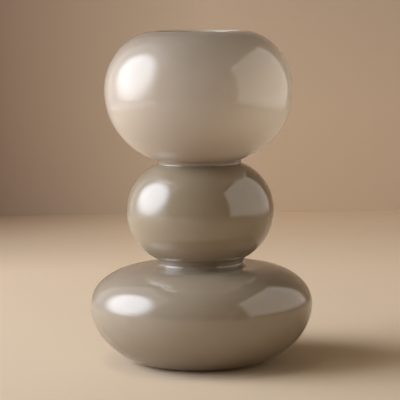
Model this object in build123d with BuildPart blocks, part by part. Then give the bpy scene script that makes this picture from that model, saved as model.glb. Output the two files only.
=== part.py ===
from build123d import *
import os
from collections import namedtuple
from math import cos, radians, sin, sqrt

os.makedirs("parts", exist_ok=True)

# A vase of three stacked glass bulbs, in millimetres: it stands on Z = 0 and its axis is Z.
# A bulb's side is two quarter ellipses, a crown above its widest point and a belly below it.
# The centre of each quarter ellipse lies off the axis, which makes the bulb a flattened one.

# Wall: coloured casing glass outside, white opal lining glass inside
casing_thickness = 2.4
lining_thickness = 1.6
wall_thickness = casing_thickness + lining_thickness

# Lower bulb
lower_radius = 101.0
lower_crown_center = 52.5
lower_crown_rise = 34.6
lower_belly_center = 23.0
lower_belly_drop = 58.0
foot_radius = 56.0
base_thickness = 8.0
floor_radius = 45.0
kick_radius = 46.0
kick_depth = 3.0

# Middle bulb
middle_radius = 66.9
middle_crown_center = 22.75
middle_crown_rise = 44.9
middle_belly_center = 22.75
middle_belly_drop = 47.3

# Upper bulb
upper_radius = 85.1
upper_crown_center = 38.0
upper_crown_rise = 53.7
upper_belly_center = 20.6
upper_belly_drop = 64.7
lining_setback = 10.0

# Joining rings at the two waists, with the passage through them
upper_ring_radius = 38.5
upper_ring_height = 3.8
upper_ring_edge_angle = 20.0
waist_step = 2.2
lower_ring_head_radius = upper_ring_radius + waist_step
ring_flare = 1.6
lower_ring_foot_radius = lower_ring_head_radius + ring_flare
lower_ring_height = 8.1
lower_ring_edge_angle = 3.0
ring_wall = 5.5
bore_radius = upper_ring_radius - ring_wall


def quarter_height(radius, center, widest, full_height):
    """Height of a quarter ellipse over its centre, at a distance from the axis."""
    reach = max(radius - center, 0) / (widest - center)
    return full_height * sqrt(1 - reach**2)


# Heights, stacked from the foot up
lower_equator = quarter_height(foot_radius, lower_belly_center, lower_radius, lower_belly_drop)
lower_ring_bottom = lower_equator + lower_crown_rise
lower_ring_top = lower_ring_bottom + lower_ring_height
middle_equator = lower_ring_top + quarter_height(
    lower_ring_head_radius, middle_belly_center, middle_radius, middle_belly_drop
)
upper_ring_bottom = middle_equator + quarter_height(
    upper_ring_radius, middle_crown_center, middle_radius, middle_crown_rise
)
upper_ring_top = upper_ring_bottom + upper_ring_height
upper_equator = upper_ring_top + quarter_height(
    upper_ring_radius, upper_belly_center, upper_radius, upper_belly_drop
)
lip_top = upper_equator + upper_crown_rise
lip_radius = wall_thickness / 2
lining_end_radius = upper_crown_center + lining_setback
overlap = 1.0

Bulb = namedtuple("Bulb", "radius equator crown_center crown_rise belly_center belly_drop")
lower_bulb = Bulb(
    lower_radius, lower_equator, lower_crown_center, lower_crown_rise, lower_belly_center, lower_belly_drop
)
# The inside of the lower bulb is flatter below than its outside, so the glass thickens to the base.
lower_hollow = Bulb(
    lower_radius,
    lower_equator,
    lower_crown_center,
    lower_crown_rise,
    floor_radius,
    lower_equator - base_thickness + wall_thickness,
)
middle_bulb = Bulb(
    middle_radius, middle_equator, middle_crown_center, middle_crown_rise, middle_belly_center, middle_belly_drop
)
upper_bulb = Bulb(
    upper_radius, upper_equator, upper_crown_center, upper_crown_rise, upper_belly_center, upper_belly_drop
)


def bulb_half(bulb, depth):
    """Half section of a bulb, taken in from its side by a depth."""
    with BuildSketch() as half:
        with BuildLine():
            belly = EllipticalCenterArc(
                (bulb.belly_center, bulb.equator),
                bulb.radius - bulb.belly_center - depth,
                bulb.belly_drop - depth,
                -90,
                arc_size=90,
            )
            crown = EllipticalCenterArc(
                (bulb.crown_center, bulb.equator),
                bulb.radius - bulb.crown_center - depth,
                bulb.crown_rise - depth,
                0,
                arc_size=90,
            )
            Polyline(crown @ 1, (0, (crown @ 1).Y), (0, (belly @ 0).Y), belly @ 0)
        make_face()
    return half.sketch


def box_between(inner, outer, bottom, top):
    """Upright rectangle between two distances from the axis and two heights."""
    with BuildSketch() as box:
        with Locations((inner, bottom)):
            Rectangle(outer - inner, top - bottom, align=(Align.MIN, Align.MIN))
    return box.sketch


def ring_half(foot, head, bottom, top, edge_angle):
    """Half section of a joining ring: its groove leaves the bulb below at the edge angle."""
    inward = (-cos(radians(edge_angle)), sin(radians(edge_angle)))
    with BuildSketch() as half:
        with BuildLine():
            groove = TangentArc((foot, bottom), (head, top), tangent=inward)
            Polyline(groove @ 1, (bore_radius, top), (bore_radius, bottom), groove @ 0)
        make_face()
    return half.sketch


# White lining of the lower bulb, with the floor of the vase
with BuildPart() as lower_bulb_lining:
    with BuildSketch(Plane.XZ):
        add(bulb_half(lower_hollow, casing_thickness))
        add(bulb_half(lower_hollow, wall_thickness), mode=Mode.SUBTRACT)
        add(box_between(0, bore_radius, lower_equator, lower_ring_top), mode=Mode.SUBTRACT)
    revolve(axis=Axis.Z)

# Coloured casing of the lower bulb: flat foot, hollowed a little underneath
with BuildPart() as lower_bulb_casing:
    with BuildSketch(Plane.XZ):
        add(bulb_half(lower_bulb, 0))
        add(box_between(0, lower_radius + overlap, 0, lower_ring_bottom), mode=Mode.INTERSECT)
        add(bulb_half(lower_hollow, casing_thickness), mode=Mode.SUBTRACT)
        add(box_between(0, bore_radius, lower_equator, lower_ring_top), mode=Mode.SUBTRACT)
        with BuildLine():
            kick = TangentArc((0, kick_depth), (kick_radius, 0), tangent=(1, 0))
            Polyline(kick @ 1, (kick_radius, -overlap), (0, -overlap), kick @ 0)
        make_face(mode=Mode.SUBTRACT)
    revolve(axis=Axis.Z)

# Ring between the lower and middle bulbs
with BuildPart() as lower_joining_ring:
    with BuildSketch(Plane.XZ):
        add(
            ring_half(
                lower_ring_foot_radius,
                lower_ring_head_radius,
                lower_ring_bottom,
                lower_ring_top,
                lower_ring_edge_angle,
            )
        )
    revolve(axis=Axis.Z)

# Middle bulb: both layers end in flat ground rims on the rings
with BuildPart() as middle_bulb_lining:
    with BuildSketch(Plane.XZ):
        add(bulb_half(middle_bulb, casing_thickness))
        add(bulb_half(middle_bulb, wall_thickness), mode=Mode.SUBTRACT)
        add(
            box_between(bore_radius, middle_radius + overlap, lower_ring_top, upper_ring_bottom),
            mode=Mode.INTERSECT,
        )
    revolve(axis=Axis.Z)

with BuildPart() as middle_bulb_casing:
    with BuildSketch(Plane.XZ):
        add(bulb_half(middle_bulb, 0))
        add(bulb_half(middle_bulb, casing_thickness), mode=Mode.SUBTRACT)
        add(
            box_between(bore_radius, middle_radius + overlap, lower_ring_top, upper_ring_bottom),
            mode=Mode.INTERSECT,
        )
    revolve(axis=Axis.Z)

# Ring between the middle and upper bulbs
with BuildPart() as upper_joining_ring:
    with BuildSketch(Plane.XZ):
        add(
            ring_half(
                upper_ring_radius,
                upper_ring_radius,
                upper_ring_bottom,
                upper_ring_top,
                upper_ring_edge_angle,
            )
        )
    revolve(axis=Axis.Z)


# Upper bulb: the lining stops short of the mouth
def upper_lining_half():
    """Half section of the white lining of the upper bulb."""
    with BuildSketch() as half:
        add(bulb_half(upper_bulb, casing_thickness))
        add(bulb_half(upper_bulb, wall_thickness), mode=Mode.SUBTRACT)
        add(box_between(0, upper_radius + overlap, upper_ring_top, lip_top), mode=Mode.INTERSECT)
        add(box_between(0, bore_radius, upper_ring_top, upper_equator), mode=Mode.SUBTRACT)
        add(box_between(0, lining_end_radius, upper_equator, lip_top), mode=Mode.SUBTRACT)
    return half.sketch


with BuildPart() as upper_bulb_lining:
    with BuildSketch(Plane.XZ):
        add(upper_lining_half())
    revolve(axis=Axis.Z)

# The casing takes the whole wall at the mouth and ends in a fully rounded lip.
with BuildPart() as upper_bulb_casing:
    with BuildSketch(Plane.XZ):
        add(bulb_half(upper_bulb, 0))
        add(bulb_half(upper_bulb, wall_thickness), mode=Mode.SUBTRACT)
        add(box_between(0, upper_radius + overlap, upper_ring_top, lip_top), mode=Mode.INTERSECT)
        add(box_between(0, bore_radius, upper_ring_top, upper_equator), mode=Mode.SUBTRACT)
        add(box_between(0, upper_crown_center, upper_equator, lip_top), mode=Mode.SUBTRACT)
        with BuildLine():
            lip = ThreePointArc(
                (upper_crown_center, lip_top),
                (upper_crown_center - lip_radius, lip_top - lip_radius),
                (upper_crown_center, lip_top - wall_thickness),
            )
            Line(lip @ 1, lip @ 0)
        make_face()
        add(upper_lining_half(), mode=Mode.SUBTRACT)
    revolve(axis=Axis.Z)

lower_bulb_casing.part.label = "lower_bulb_casing"
export_step(lower_bulb_casing.part, "parts/lower_bulb_casing.step")
lower_bulb_lining.part.label = "lower_bulb_lining"
export_step(lower_bulb_lining.part, "parts/lower_bulb_lining.step")
lower_joining_ring.part.label = "lower_joining_ring"
export_step(lower_joining_ring.part, "parts/lower_joining_ring.step")
middle_bulb_casing.part.label = "middle_bulb_casing"
export_step(middle_bulb_casing.part, "parts/middle_bulb_casing.step")
middle_bulb_lining.part.label = "middle_bulb_lining"
export_step(middle_bulb_lining.part, "parts/middle_bulb_lining.step")
upper_joining_ring.part.label = "upper_joining_ring"
export_step(upper_joining_ring.part, "parts/upper_joining_ring.step")
upper_bulb_casing.part.label = "upper_bulb_casing"
export_step(upper_bulb_casing.part, "parts/upper_bulb_casing.step")
upper_bulb_lining.part.label = "upper_bulb_lining"
export_step(upper_bulb_lining.part, "parts/upper_bulb_lining.step")
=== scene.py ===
"""Looks for the triple gourd vase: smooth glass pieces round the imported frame, a studio and a camera."""
import math
from collections import namedtuple

import bmesh
import bpy
from mathutils import Matrix, Vector


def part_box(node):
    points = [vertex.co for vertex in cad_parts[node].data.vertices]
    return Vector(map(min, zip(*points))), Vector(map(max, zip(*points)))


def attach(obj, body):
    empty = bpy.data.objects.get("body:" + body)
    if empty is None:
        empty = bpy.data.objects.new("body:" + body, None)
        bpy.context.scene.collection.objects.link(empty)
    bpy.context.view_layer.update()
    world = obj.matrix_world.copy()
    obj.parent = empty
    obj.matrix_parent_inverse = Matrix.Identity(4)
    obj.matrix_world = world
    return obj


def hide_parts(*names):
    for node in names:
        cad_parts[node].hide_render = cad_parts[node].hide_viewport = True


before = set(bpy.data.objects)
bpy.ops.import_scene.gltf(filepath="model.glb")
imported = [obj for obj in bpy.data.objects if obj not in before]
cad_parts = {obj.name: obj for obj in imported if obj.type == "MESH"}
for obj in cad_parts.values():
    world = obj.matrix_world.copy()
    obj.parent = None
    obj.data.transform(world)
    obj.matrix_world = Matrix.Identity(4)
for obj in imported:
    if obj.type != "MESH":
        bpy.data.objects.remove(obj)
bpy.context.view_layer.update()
scene = bpy.context.scene

Quarter = namedtuple("Quarter", "center height")
Bulb = namedtuple("Bulb", "radius equator crown belly")
Glass = namedtuple("Glass", "bottom top roughness gloss")
Lamp = namedtuple("Lamp", "place size radiance color")

# Sizes in metres that the frame doesn't give, as in the part's source
MM = 0.001
CASING = 2.4 * MM
LINING = 1.6 * MM
WALL = CASING + LINING
KICK_RADIUS = 46.0 * MM
KICK_DEPTH = 3.0 * MM
BASE_THICKNESS = 8.0 * MM
FLOOR_RADIUS = 45.0 * MM
LINING_SETBACK = 10.0 * MM
WAIST_STEP = 2.2 * MM
RING_WALL = 5.5 * MM

# Quarter ellipses of the bulbs' sides: distance of the centre from the axis, and height
LOWER_CROWN = Quarter(52.5 * MM, 34.6 * MM)
LOWER_BELLY = Quarter(23.0 * MM, 58.0 * MM)
MIDDLE_CROWN = Quarter(22.75 * MM, 44.9 * MM)
MIDDLE_BELLY = Quarter(22.75 * MM, 47.3 * MM)
UPPER_CROWN = Quarter(38.0 * MM, 53.7 * MM)
UPPER_BELLY = Quarter(20.6 * MM, 64.7 * MM)

# Soft edges that only the looks have: the foot, the creases in the two waists and the rolled lip.
# The foot's rounding turns towards one of the side's points, counted up from the floor.
FOOT_SETBACK = 7.0 * MM
FOOT_AIM_POINT = 4
LOWER_CREASE_DEPTH, LOWER_CREASE_RISE, LOWER_SOFTNESS = 1.0 * MM, 2.8 * MM, 2.4 * MM
UPPER_CREASE_DEPTH, UPPER_CREASE_RISE, UPPER_SOFTNESS = 0.9 * MM, 0.8 * MM, 1.15 * MM
LIP_BEAD = 5.0 * MM
LIP_REACH = 4.0 * MM
LIP_RADIUS = WALL / 2

# Mesh density, and the small unevenness of blown glass
SEGMENTS = 224
ARC_STEPS = 48
KICK_STEPS = 4
ROUNDING_STEPS = 8
UNROUNDNESS = 0.0016
UNROUND_LOBES = 2
UNROUND_TWIST = 9.0
SHARP_ANGLE = math.radians(35)
TINY = 0.01 * MM
RIGHT_ANGLE = math.pi / 2

# Glass in general: a glow from inside, swirls in its colour, ripples, and a polish that follows the swirls
GLASS_IOR = 1.6
GLOW_WEIGHT = 0.25
GLOW_RADIUS = (1.0, 0.85, 0.65)
GLOW_DEPTH = 4 * MM
SWIRL_SCALE = 9.0
SWIRL_DETAIL = 3.0
SWIRL_BEND = 0.6
SWIRL_SHARE = 0.5
RIPPLE_SCALE = 16.0
RIPPLE_DETAIL = 1.0
RIPPLE_STRENGTH = 0.05
RIPPLE_HEIGHT = 1.0 * MM
SMOOTH_SHARE, DULL_SHARE = 0.8, 1.3

# Each glass: linear colours at its bottom and top, roughness and gloss
CASING_ROUGHNESS = 0.04
# Upper glass: darker towards the crown, as painted shade that tones down the key's light on its top
UPPER_GLASS = Glass((0.472, 0.39, 0.311), (0.368, 0.307, 0.25), CASING_ROUGHNESS, gloss=0.6)
MIDDLE_GLASS = Glass((0.312, 0.247, 0.17), (0.31, 0.25, 0.176), CASING_ROUGHNESS, gloss=0.82)
# Lower glass: darker towards the foot, as painted shade from the contact shadow under the bulb
LOWER_GLASS = Glass((0.232, 0.188, 0.137), (0.335, 0.276, 0.21), CASING_ROUGHNESS, gloss=0.74)
# Ring glass: darker than the bulbs, as painted shade in the waist creases
RING_GLASS = Glass((0.25, 0.2, 0.145), (0.27, 0.22, 0.16), roughness=0.03, gloss=0.9)
OPAL_GLASS = Glass((0.76, 0.68, 0.57), (0.86, 0.78, 0.67), roughness=0.12, gloss=0.7)

# Painted light on the upper bulb: a pale flat patch on its right, and a paler lip that also lifts the
# shade inside the mouth
PAINTED_LIGHT_COLOR = (0.98, 0.9, 0.83)
PATCH_DROP = 6 * MM
PATCH_NEAR, PATCH_FAR = 40 * MM, 150 * MM
PATCH_FLATNESS = 2.0
# The lip: partly paler glass, and partly painted light over the shade just inside the mouth
LIP_COLOR = (0.52, 0.445, 0.365)
LIP_FLATNESS = 1.0

# Studio: a pale floor with a darker wall behind the vase, its colour painted dim at the left and towards
# the top as painted shade
WALL_DISTANCE = 1.104
STAGE_FRONT = -6.0
STAGE_HALF_WIDTH = 5.0
STAGE_HEIGHT = 3.0
FADE_START = 0.55
WALL_DIM_END, WALL_LIT_END = -0.29, 0.02
DUSK_START, DUSK_END = 0.15, 1.05
PAPER_ROUGHNESS, PAPER_GLOSS = 0.9, 0.1
FLOOR_COLOR = (0.71, 0.57, 0.421)
WALL_DIM_COLOR = (0.238, 0.16, 0.105)
WALL_COLOR = (0.55, 0.413, 0.29)
DUSK_COLOR = (0.15, 0.11, 0.08)

# Lamps: place and size in metres, radiance and colour. A spread is that of a grid in front of a lamp.
COOL, WARM, SHEEN_COLOR = (0.93, 1.0, 1.11), (1.0, 0.9, 0.76), (1.0, 0.94, 0.87)
RIGHTWARD, LEFTWARD = Vector((1, 0, 0)), Vector((-1, 0, 0))
LAMP_GAP = 0.01
KEY = Lamp(Vector((-1.45, -0.1, 0.8)), (2.65, 2.1), radiance=6.3, color=COOL)
KEY_GLOW = Lamp(Vector((-1.46, -0.04, 0.99)), (2.4, 2.8), radiance=4.8, color=COOL)
KEY_SCREEN = Lamp(Vector((-0.62, 0.08, 0.75)), (1.2, 1.4), radiance=0.5, color=COOL)
KEY_EDGE = Lamp(Vector((-0.6, 0.66, 0.75)), (0.025, 1.4), radiance=1.2, color=COOL)
FILL = Lamp(Vector((0.6, -0.03, 0.485)), (1.27, 0.96), radiance=0.23, color=WARM)
FILL_SHEEN = Lamp(FILL.place + LEFTWARD * LAMP_GAP, FILL.size, radiance=0.95, color=SHEEN_COLOR)
BACK = Lamp(Vector((-1.15, 0.7, 2.2)), (3.0, 0.6), radiance=0.77, color=WARM)
FRONT = Lamp(Vector((1.2, -2.2, 0.5)), (1.5, 1.0), radiance=0.8, color=WARM)
BACK_TARGET, FRONT_TARGET = Vector((-0.3, 1.3, 0.25)), Vector((0, 0, 0.15))
KEY_SPREAD, FILL_SPREAD, BACK_SPREAD = math.radians(160), math.radians(100), math.radians(60)
LIGHT_ONLY, GLOSS_ONLY = (True, False), (False, True)
SURROUND_COLOR, SURROUND_LEVEL = (0.5, 0.385, 0.25), 0.305

# Fades across a lamp, in shares of its sides
LAMP_MIDDLE = (0.5, 0.5, 0)
HOT_REACH, FADED_REACH = 0.18, 0.5
SHEEN_EDGE = 0.14

# Camera, as fitted to the photograph
CAMERA_PLACE = Vector((0, -1.8, 0.355))
CAMERA_PITCH = 0.11505
CAMERA_ROLL = -0.014
SENSOR = 36.0
LENS = 179.98

# Places of the colour sockets in a mix node's lists of sockets
MIX_SHARE, MIX_FIRST, MIX_SECOND, MIX_RESULT = 0, 6, 7, 2

# Heights and widths, from the frame
lower_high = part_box("lower_bulb_casing")[1]
middle_low, middle_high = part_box("middle_bulb_casing")
upper_low, upper_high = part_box("upper_bulb_casing")
lower_ring_bottom, lower_ring_top = lower_high.z, middle_low.z
upper_ring_bottom, upper_ring_top = middle_high.z, upper_low.z
upper_ring_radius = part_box("upper_joining_ring")[1].x
lower_ring_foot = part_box("lower_joining_ring")[1].x
lower_ring_head = upper_ring_radius + WAIST_STEP
bore = upper_ring_radius - RING_WALL
lip_top = upper_high.z
lining_end = UPPER_CROWN.center + LINING_SETBACK

# The bulbs, and the hollow of the lower one, which has a thicker base
lower_equator = lower_ring_bottom - LOWER_CROWN.height
hollow_belly = Quarter(FLOOR_RADIUS, lower_equator - BASE_THICKNESS + WALL)
head_reach = (lower_ring_head - MIDDLE_BELLY.center) / (middle_high.x - MIDDLE_BELLY.center)
middle_equator = lower_ring_top + MIDDLE_BELLY.height * math.sqrt(1 - head_reach**2)
lower = Bulb(lower_high.x, lower_equator, LOWER_CROWN, LOWER_BELLY)
hollow = Bulb(lower_high.x, lower_equator, LOWER_CROWN, hollow_belly)
middle = Bulb(middle_high.x, middle_equator, MIDDLE_CROWN, MIDDLE_BELLY)
upper = Bulb(upper_high.x, lip_top - UPPER_CROWN.height, UPPER_CROWN, UPPER_BELLY)


def side_point(bulb, depth, angle):
    """Point of a bulb's side at a depth. The angle is 0 at the widest and a right angle at either end."""
    center, height = bulb.crown if angle >= 0 else bulb.belly
    radius = center + (bulb.radius - center - depth) * math.cos(angle)
    return radius, bulb.equator + (height - depth) * math.sin(angle)


def side(bulb, depth, start, end):
    """Points along a bulb's side from one angle to another."""
    steps = max(1, round(ARC_STEPS * abs(end - start) / RIGHT_ANGLE))
    return [side_point(bulb, depth, start + (end - start) * i / steps) for i in range(steps + 1)]


def whole_side(bulb, depth, low_angle, high_angle):
    """Points up a bulb's side, from an angle below the widest point to one above it."""
    return side(bulb, depth, -low_angle, 0)[:-1] + side(bulb, depth, 0, high_angle)


def reach_angle(bulb, quarter, depth, radius, height):
    """Angle at which a side comes in to a radius or out to a height, whichever is first."""
    across = (radius - quarter.center) / (bulb.radius - quarter.center - depth)
    along = abs(height - bulb.equator) / (quarter.height - depth)
    return min(math.acos(min(1, max(0, across))), math.asin(min(1, along)))


def rounded(before, corner, after, setback):
    """Points of a soft curve that cuts off a corner at a setback to both sides."""
    corner = Vector(corner)
    first = corner + (Vector(before) - corner).normalized() * setback
    last = corner + (Vector(after) - corner).normalized() * setback
    shares = [i / ROUNDING_STEPS for i in range(ROUNDING_STEPS + 1)]
    return [tuple(first * (1 - t) ** 2 + corner * 2 * t * (1 - t) + last * t**2) for t in shares]


def rim_corner(first, second, rim_height):
    """The corner between passage and ground rim, where one of two layers ends on each."""
    first_on_rim, second_on_rim = (abs(point[1] - rim_height) < TINY for point in (first, second))
    return [(bore, rim_height)] if first_on_rim != second_on_rim else []


def kick_arc():
    """Points of the shallow arc under the base, from the axis out to the foot ring."""
    radius = (KICK_RADIUS**2 + KICK_DEPTH**2) / (2 * KICK_DEPTH)
    end = math.asin(KICK_RADIUS / radius)
    angles = [end * i / KICK_STEPS for i in range(KICK_STEPS + 1)]
    return [(radius * math.sin(a), KICK_DEPTH - radius * (1 - math.cos(a))) for a in angles]


def lower_casing_profile():
    """Casing of the lower bulb, from under the foot round to the inside of the base."""
    kick = kick_arc()
    outside = whole_side(lower, 0, reach_angle(lower, LOWER_BELLY, 0, 0, 0), RIGHT_ANGLE)
    foot = rounded(kick[-1], outside[0], outside[FOOT_AIM_POINT], FOOT_SETBACK)
    clear = [point for point in outside if point[1] > foot[-1][1] + TINY]
    inside = whole_side(hollow, CASING, RIGHT_ANGLE, RIGHT_ANGLE)[::-1]
    neck = [(bore, lower_ring_bottom), (bore, inside[0][1])]
    return kick + foot + clear + neck + inside + [(0, inside[-1][1])]


def lower_lining_profile():
    """Lining of the lower bulb, from the middle of its underside round to the middle of the floor."""
    outside = whole_side(hollow, CASING, RIGHT_ANGLE, RIGHT_ANGLE)
    inside = whole_side(hollow, WALL, RIGHT_ANGLE, RIGHT_ANGLE)[::-1]
    rim = [(bore, outside[-1][1]), (bore, inside[0][1])]
    return [(0, outside[0][1])] + outside + rim + inside + [(0, inside[-1][1])]


def middle_surface(depth):
    """A layer's surface in the middle bulb, from the lower waist up to the upper one."""
    low_angle = reach_angle(middle, MIDDLE_BELLY, depth, bore, lower_ring_top)
    high_angle = reach_angle(middle, MIDDLE_CROWN, depth, bore, upper_ring_bottom)
    return whole_side(middle, depth, low_angle, high_angle)


def middle_layer_profile(outer_depth, inner_depth):
    """One layer of the middle bulb, between two depths."""
    outside, inside = middle_surface(outer_depth), middle_surface(inner_depth)
    top = rim_corner(outside[-1], inside[-1], upper_ring_bottom)
    bottom = rim_corner(outside[0], inside[0], lower_ring_top)
    return outside + top + inside[::-1] + bottom


def upper_surface(depth, end_radius):
    """A layer's surface in the upper bulb, from the upper waist up and in to a radius of the crown."""
    low_angle = reach_angle(upper, UPPER_BELLY, depth, bore, upper_ring_top)
    high_angle = reach_angle(upper, UPPER_CROWN, depth, end_radius, lip_top)
    return whole_side(upper, depth, low_angle, high_angle)


def rolled_lip(start):
    """Points of the lip, which rolls in from a start on the crown to the mouth and on under it."""
    mouth = UPPER_CROWN.center - LIP_RADIUS
    half_bead = (start[1] - lip_top + LIP_BEAD) / 2
    height = start[1] - half_bead
    turns = [RIGHT_ANGLE * i / ROUNDING_STEPS for i in range(1, ROUNDING_STEPS + 1)]
    over = [(mouth + LIP_REACH * (1 - math.sin(a)), height + half_bead * math.cos(a)) for a in turns]
    under = [(mouth + LIP_RADIUS * (1 - math.cos(a)), height - half_bead * math.sin(a)) for a in turns]
    return over + under


def upper_casing_profile():
    """Casing of the upper bulb, with the whole wall and the rolled lip at the mouth."""
    outside = upper_surface(0, UPPER_CROWN.center - LIP_RADIUS + LIP_REACH)
    lining_stop = upper_surface(WALL, lining_end)[-1]
    inside = upper_surface(CASING, lining_end)[::-1]
    bottom = rim_corner(outside[0], inside[-1], upper_ring_top)
    return outside + rolled_lip(outside[-1]) + [lining_stop] + inside + bottom


def upper_lining_profile():
    """Lining of the upper bulb, which stops short of the mouth."""
    outside, inside = upper_surface(CASING, lining_end), upper_surface(WALL, lining_end)
    return outside + inside[::-1] + rim_corner(outside[0], inside[0], upper_ring_top)


def ring_profile(foot, head, crease, softness):
    """Joining ring that slopes in from the bulb below to a soft crease, and out to the bulb above."""
    return [foot] + rounded(foot, crease, head, softness) + [head, (bore, head[1]), (bore, foot[1])]


def lower_ring_profile():
    """Ring of the lower waist, which is wider at its foot than at its head."""
    crease = upper_ring_radius - LOWER_CREASE_DEPTH, lower_ring_bottom + LOWER_CREASE_RISE
    foot = lower_ring_foot, lower_ring_bottom
    head = lower_ring_head, lower_ring_top
    return ring_profile(foot, head, crease, LOWER_SOFTNESS)


def upper_ring_profile():
    """Ring of the upper waist, as wide at its foot as at its head."""
    crease = upper_ring_radius - UPPER_CREASE_DEPTH, upper_ring_bottom + UPPER_CREASE_RISE
    foot = upper_ring_radius, upper_ring_bottom
    head = upper_ring_radius, upper_ring_top
    return ring_profile(foot, head, crease, UPPER_SOFTNESS)


def blown(radius, angle, height):
    """Place of a point of the vase, drawn in a little, because blown glass is never quite round."""
    wave = math.sin(UNROUND_LOBES * angle + UNROUND_TWIST * height) - 1
    uneven = radius * (1 + UNROUNDNESS * wave / 2)
    return uneven * math.cos(angle), uneven * math.sin(angle), height


def lathe(name, profile):
    """Mesh object made by turning a profile of radius and height points round the axis.

    A profile that starts on the axis ends there too. Any other is closed from its end to its start.
    """
    mesh = bpy.data.meshes.new(name)
    turned = bmesh.new()
    rows = []
    for radius, height in profile:
        if radius < TINY:
            rows.append([turned.verts.new((0, 0, height))] * SEGMENTS)
            continue
        places = [blown(radius, math.tau * i / SEGMENTS, height) for i in range(SEGMENTS)]
        rows.append([turned.verts.new(place) for place in places])
    pairs = list(zip(rows, rows[1:]))
    if profile[0][0] > TINY:
        pairs.append((rows[-1], rows[0]))
    for first, second in pairs:
        for i in range(SEGMENTS):
            j = (i + 1) % SEGMENTS
            corners = [first[i], first[j], second[j], second[i]]
            turned.faces.new(list(dict.fromkeys(corners)))
    bmesh.ops.recalc_face_normals(turned, faces=turned.faces)
    turned.to_mesh(mesh)
    turned.free()
    mesh.shade_smooth()
    mesh.set_sharp_from_angle(angle=SHARP_ANGLE)
    piece = bpy.data.objects.new(name, mesh)
    scene.collection.objects.link(piece)
    return piece


def node(tree, kind, **values):
    """Adds a shader node and sets its properties or input sockets by name."""
    made = tree.nodes.new(kind)
    for name, value in values.items():
        if hasattr(made, name):
            setattr(made, name, value)
        else:
            made.inputs[name.replace("_", " ")].default_value = value
    return made


def feed(tree, source, socket):
    """Gives a socket a plain colour, or links it to another socket."""
    if isinstance(source, tuple):
        socket.default_value = (*source, 1)
    else:
        tree.links.new(source, socket)


def color_mix(tree, share, first, second):
    """Socket of a colour that goes from a first to a second one, as a share goes from 0 to 1."""
    mix = node(tree, "ShaderNodeMix", data_type="RGBA")
    tree.links.new(share, mix.inputs[MIX_SHARE])
    feed(tree, first, mix.inputs[MIX_FIRST])
    feed(tree, second, mix.inputs[MIX_SECOND])
    return mix.outputs[MIX_RESULT]


def glass(name, recipe, low, high):
    """Opal glass whose colour changes from a low height to a high one, with faint swirls in it."""
    material = bpy.data.materials.new(name)
    material.use_nodes = True
    tree = material.node_tree
    shader = tree.nodes["Principled BSDF"]
    shader.inputs["IOR"].default_value = GLASS_IOR
    shader.inputs["Specular IOR Level"].default_value = recipe.gloss
    shader.inputs["Subsurface Weight"].default_value = GLOW_WEIGHT
    shader.inputs["Subsurface Radius"].default_value = GLOW_RADIUS
    shader.inputs["Subsurface Scale"].default_value = GLOW_DEPTH
    place = node(tree, "ShaderNodeTexCoord")
    parts = node(tree, "ShaderNodeSeparateXYZ")
    height = node(tree, "ShaderNodeMapRange", From_Min=low, From_Max=high)
    swirl = node(tree, "ShaderNodeTexNoise", Scale=SWIRL_SCALE, Detail=SWIRL_DETAIL, Distortion=SWIRL_BEND)
    drift = node(tree, "ShaderNodeMapRange", To_Min=-SWIRL_SHARE / 2, To_Max=SWIRL_SHARE / 2)
    mixed = node(tree, "ShaderNodeMath", operation="ADD")
    ramp = node(tree, "ShaderNodeValToRGB")
    ramp.color_ramp.interpolation = "EASE"
    ramp.color_ramp.elements[0].color = (*recipe.bottom, 1)
    ramp.color_ramp.elements[1].color = (*recipe.top, 1)
    smooth, dull = recipe.roughness * SMOOTH_SHARE, recipe.roughness * DULL_SHARE
    polish = node(tree, "ShaderNodeMapRange", To_Min=smooth, To_Max=dull)
    ripple = node(tree, "ShaderNodeTexNoise", Scale=RIPPLE_SCALE, Detail=RIPPLE_DETAIL)
    bump = node(tree, "ShaderNodeBump", Strength=RIPPLE_STRENGTH, Distance=RIPPLE_HEIGHT)
    links = tree.links
    links.new(place.outputs["Object"], parts.inputs[0])
    links.new(place.outputs["Object"], swirl.inputs["Vector"])
    links.new(place.outputs["Object"], ripple.inputs["Vector"])
    links.new(parts.outputs["Z"], height.inputs["Value"])
    links.new(swirl.outputs["Fac"], drift.inputs["Value"])
    links.new(height.outputs["Result"], mixed.inputs[0])
    links.new(drift.outputs["Result"], mixed.inputs[1])
    links.new(mixed.outputs[0], ramp.inputs["Fac"])
    links.new(ramp.outputs["Color"], shader.inputs["Base Color"])
    links.new(swirl.outputs["Fac"], polish.inputs["Value"])
    links.new(polish.outputs["Result"], shader.inputs["Roughness"])
    links.new(ripple.outputs["Fac"], bump.inputs["Height"])
    links.new(bump.outputs["Normal"], shader.inputs["Normal"])
    return material


def painted_light_patch(material, pale_color, center, flatness, near, far):
    """Paints a paler colour onto glass as painted light: fully near a point, and not at all where it is
    far off.
    """
    tree = material.node_tree
    base = tree.nodes["Principled BSDF"].inputs["Base Color"]
    glass_color = base.links[0].from_socket
    place = node(tree, "ShaderNodeTexCoord")
    offset = node(tree, "ShaderNodeVectorMath", operation="SUBTRACT")
    offset.inputs[1].default_value = center
    flat = node(tree, "ShaderNodeVectorMath", operation="MULTIPLY")
    flat.inputs[1].default_value = (1, 1, flatness)
    away = node(tree, "ShaderNodeVectorMath", operation="LENGTH")
    share = node(tree, "ShaderNodeMapRange", interpolation_type="SMOOTHSTEP", From_Min=far, From_Max=near)
    links = tree.links
    links.new(place.outputs["Object"], offset.inputs[0])
    links.new(offset.outputs[0], flat.inputs[0])
    links.new(flat.outputs[0], away.inputs[0])
    links.new(away.outputs["Value"], share.inputs["Value"])
    links.new(color_mix(tree, share.outputs["Result"], glass_color, pale_color), base)


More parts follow.
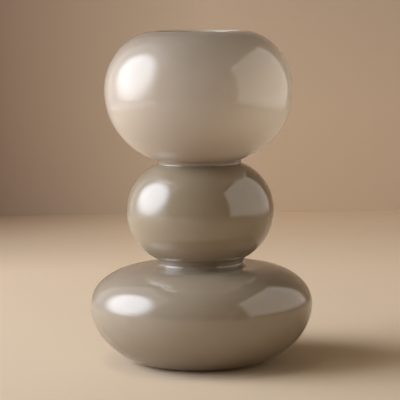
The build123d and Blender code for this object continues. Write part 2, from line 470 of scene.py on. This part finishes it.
def upper_casing_glass():
    """Glass of the upper bulb, darker towards the crown as painted shade, with a patch of painted light on
    its right and a paler lip that is partly painted light.
    """
    material = glass("upper_casing", UPPER_GLASS, upper.equator, lip_top)
    # A pale patch painted on the bulb's right, standing in for light on that side
    patch_center = upper.radius, 0, upper.equator - PATCH_DROP
    painted_light_patch(material, PAINTED_LIGHT_COLOR, patch_center, PATCH_FLATNESS, PATCH_NEAR, PATCH_FAR)
    # A paler lip, which also paints light over the shade inside the mouth
    lip_center = 0, 0, lip_top
    lip_near, lip_far = UPPER_CROWN.center, UPPER_CROWN.center + LIP_REACH
    painted_light_patch(material, LIP_COLOR, lip_center, LIP_FLATNESS, lip_near, lip_far)
    return material


def stage_paper():
    """Matt paper, pale on the floor and darker on the wall, with painted shade at the wall's left and top,
    and clear when seen from behind.
    """
    material = bpy.data.materials.new("stage_paper")
    material.use_nodes = True
    tree = material.node_tree
    shader = tree.nodes["Principled BSDF"]
    shader.inputs["Roughness"].default_value = PAPER_ROUGHNESS
    shader.inputs["Specular IOR Level"].default_value = PAPER_GLOSS
    place = node(tree, "ShaderNodeTexCoord")
    parts = node(tree, "ShaderNodeSeparateXYZ")
    across = node(tree, "ShaderNodeMapRange", From_Min=WALL_DIM_END, From_Max=WALL_LIT_END)
    back = node(tree, "ShaderNodeMapRange", From_Min=FADE_START, From_Max=WALL_DISTANCE)
    above = node(tree, "ShaderNodeMapRange", From_Min=DUSK_START, From_Max=DUSK_END)
    # Painted shade: the wall's colour dims towards its left and towards its top
    wall = color_mix(tree, across.outputs["Result"], WALL_DIM_COLOR, WALL_COLOR)
    dusky_wall = color_mix(tree, above.outputs["Result"], wall, DUSK_COLOR)
    paper = color_mix(tree, back.outputs["Result"], FLOOR_COLOR, dusky_wall)
    facing = node(tree, "ShaderNodeNewGeometry")
    clear = node(tree, "ShaderNodeBsdfTransparent")
    surface = node(tree, "ShaderNodeMixShader")
    links = tree.links
    links.new(place.outputs["Object"], parts.inputs[0])
    links.new(parts.outputs["X"], across.inputs["Value"])
    links.new(parts.outputs["Y"], back.inputs["Value"])
    links.new(parts.outputs["Z"], above.inputs["Value"])
    links.new(paper, shader.inputs["Base Color"])
    links.new(facing.outputs["Backfacing"], surface.inputs[0])
    links.new(shader.outputs[0], surface.inputs[1])
    links.new(clear.outputs[0], surface.inputs[2])
    links.new(surface.outputs[0], tree.nodes["Material Output"].inputs["Surface"])
    return material


def make_stage():
    """Floor and wall as one sheet that faces up and towards the camera."""
    line = [(STAGE_FRONT, 0), (WALL_DISTANCE, 0), (WALL_DISTANCE, STAGE_HEIGHT)]
    verts = [(x, y, z) for y, z in line for x in (-STAGE_HALF_WIDTH, STAGE_HALF_WIDTH)]
    faces = [(2 * i, 2 * i + 1, 2 * i + 3, 2 * i + 2) for i in range(len(line) - 1)]
    mesh = bpy.data.meshes.new("stage")
    mesh.from_pydata(verts, [], faces)
    mesh.materials.append(stage_paper())
    sheet = bpy.data.objects.new("stage", mesh)
    scene.collection.objects.link(sheet)


def softbox(name, lamp, towards, lights, spread=math.pi):
    """Rectangular light that faces along a direction, within a spread, and isn't seen by the camera."""
    light = bpy.data.lights.new(name, "AREA")
    light.shape = "RECTANGLE"
    light.size, light.size_y = lamp.size
    light.energy = lamp.radiance * math.pi * lamp.size[0] * lamp.size[1]
    light.color = lamp.color
    light.spread = spread
    box = bpy.data.objects.new(name, light)
    turn = towards.to_track_quat("-Z", "Y").to_matrix().to_4x4()
    box.matrix_world = Matrix.Translation(lamp.place) @ turn
    box.visible_camera = False
    box.visible_diffuse, box.visible_glossy = lights
    scene.collection.objects.link(box)
    return light


def light_nodes(light):
    """Node tree of a light, the strength it shines with, and the place on it in shares of its sides."""
    light.use_nodes = True
    tree = light.node_tree
    spot = node(tree, "ShaderNodeNewGeometry")
    return tree, tree.nodes["Emission"].inputs["Strength"], spot.outputs["Parametric"]


def hot_middle(light):
    """Fades a light from full strength in its middle to nothing at its edges."""
    tree, strength, spot = light_nodes(light)
    away = node(tree, "ShaderNodeVectorMath", operation="DISTANCE")
    away.inputs[1].default_value = LAMP_MIDDLE
    fade = node(tree, "ShaderNodeMapRange", From_Min=FADED_REACH, From_Max=HOT_REACH)
    fade.interpolation_type = "SMOOTHERSTEP"
    tree.links.new(spot, away.inputs[0])
    tree.links.new(away.outputs["Value"], fade.inputs["Value"])
    tree.links.new(fade.outputs["Result"], strength)


def soft_edge(light):
    """Fades a light to nothing along its four edges."""
    tree, strength, spot = light_nodes(light)
    parts = node(tree, "ShaderNodeSeparateXYZ")
    nearest = node(tree, "ShaderNodeMath", operation="MINIMUM")
    fade = node(tree, "ShaderNodeMapRange", interpolation_type="SMOOTHSTEP", From_Max=SHEEN_EDGE)
    tree.links.new(spot, parts.inputs[0])
    for i in range(2):
        inward = node(tree, "ShaderNodeMath", operation="PINGPONG")
        inward.inputs[1].default_value = LAMP_MIDDLE[i]
        tree.links.new(parts.outputs[i], inward.inputs[0])
        tree.links.new(inward.outputs[0], nearest.inputs[i])
    tree.links.new(nearest.outputs[0], fade.inputs["Value"])
    tree.links.new(fade.outputs["Result"], strength)


def make_lights():
    """Softboxes that light the vase, others that only its gloss shows, and dim surroundings."""
    # A key at the left, a fill panel near the right, a high lamp for the wall and a weak one in front
    hot_middle(softbox("key", KEY, RIGHTWARD, LIGHT_ONLY, KEY_SPREAD))
    softbox("fill", FILL, LEFTWARD, LIGHT_ONLY, FILL_SPREAD)
    softbox("back", BACK, BACK_TARGET - BACK.place, LIGHT_ONLY, BACK_SPREAD)
    softbox("front", FRONT, FRONT_TARGET - FRONT.place, LIGHT_ONLY)
    # In the gloss: the key's hot middle, its dim screen with a thin bright edge, and the fill's sheen
    hot_middle(softbox("key_glow", KEY_GLOW, RIGHTWARD, GLOSS_ONLY))
    softbox("key_screen", KEY_SCREEN, RIGHTWARD, GLOSS_ONLY)
    softbox("key_edge", KEY_EDGE, RIGHTWARD, GLOSS_ONLY)
    soft_edge(softbox("fill_sheen", FILL_SHEEN, LEFTWARD, GLOSS_ONLY))
    world = bpy.data.worlds.new("studio")
    world.use_nodes = True
    background = world.node_tree.nodes["Background"]
    background.inputs["Color"].default_value = (*SURROUND_COLOR, 1)
    background.inputs["Strength"].default_value = SURROUND_LEVEL
    scene.world = world


def make_camera():
    """Camera that looks along +Y, tilted down by its pitch and turned by its roll."""
    lens = bpy.data.cameras.new("camera")
    lens.sensor_width = SENSOR
    lens.lens = LENS
    camera = bpy.data.objects.new("camera", lens)
    tilt = Matrix.Rotation(RIGHT_ANGLE - CAMERA_PITCH, 4, "X") @ Matrix.Rotation(CAMERA_ROLL, 4, "Z")
    camera.matrix_world = Matrix.Translation(CAMERA_PLACE) @ tilt
    scene.collection.objects.link(camera)
    scene.camera = camera


# The pieces, each in the place of its node
upper_glass = upper_casing_glass()
middle_glass = glass("middle_casing", MIDDLE_GLASS, lower_ring_top, upper_ring_bottom)
lower_glass = glass("lower_casing", LOWER_GLASS, 0, lower_equator)
ring_glass = glass("waist_ring", RING_GLASS, lower_ring_bottom, upper_ring_top)
opal_glass = glass("opal_lining", OPAL_GLASS, 0, lip_top)
pieces = [
    ("lower_bulb_casing", lower_casing_profile(), lower_glass, "casing_glass"),
    ("lower_bulb_lining", lower_lining_profile(), opal_glass, "lining_glass"),
    ("lower_joining_ring", lower_ring_profile(), ring_glass, "ring_glass"),
    ("middle_bulb_casing", middle_layer_profile(0, CASING), middle_glass, "casing_glass"),
    ("middle_bulb_lining", middle_layer_profile(CASING, WALL), opal_glass, "lining_glass"),
    ("upper_joining_ring", upper_ring_profile(), ring_glass, "ring_glass"),
    ("upper_bulb_casing", upper_casing_profile(), upper_glass, "casing_glass"),
    ("upper_bulb_lining", upper_lining_profile(), opal_glass, "lining_glass"),
]
for name, profile, material, slot in pieces:
    piece = lathe(name + "_glass", profile)
    piece.data.materials.append(material)
    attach(piece, "root")
    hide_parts(name)

# The studio round them
make_stage()
make_lights()
make_camera()
scene.view_settings.view_transform = "Standard"
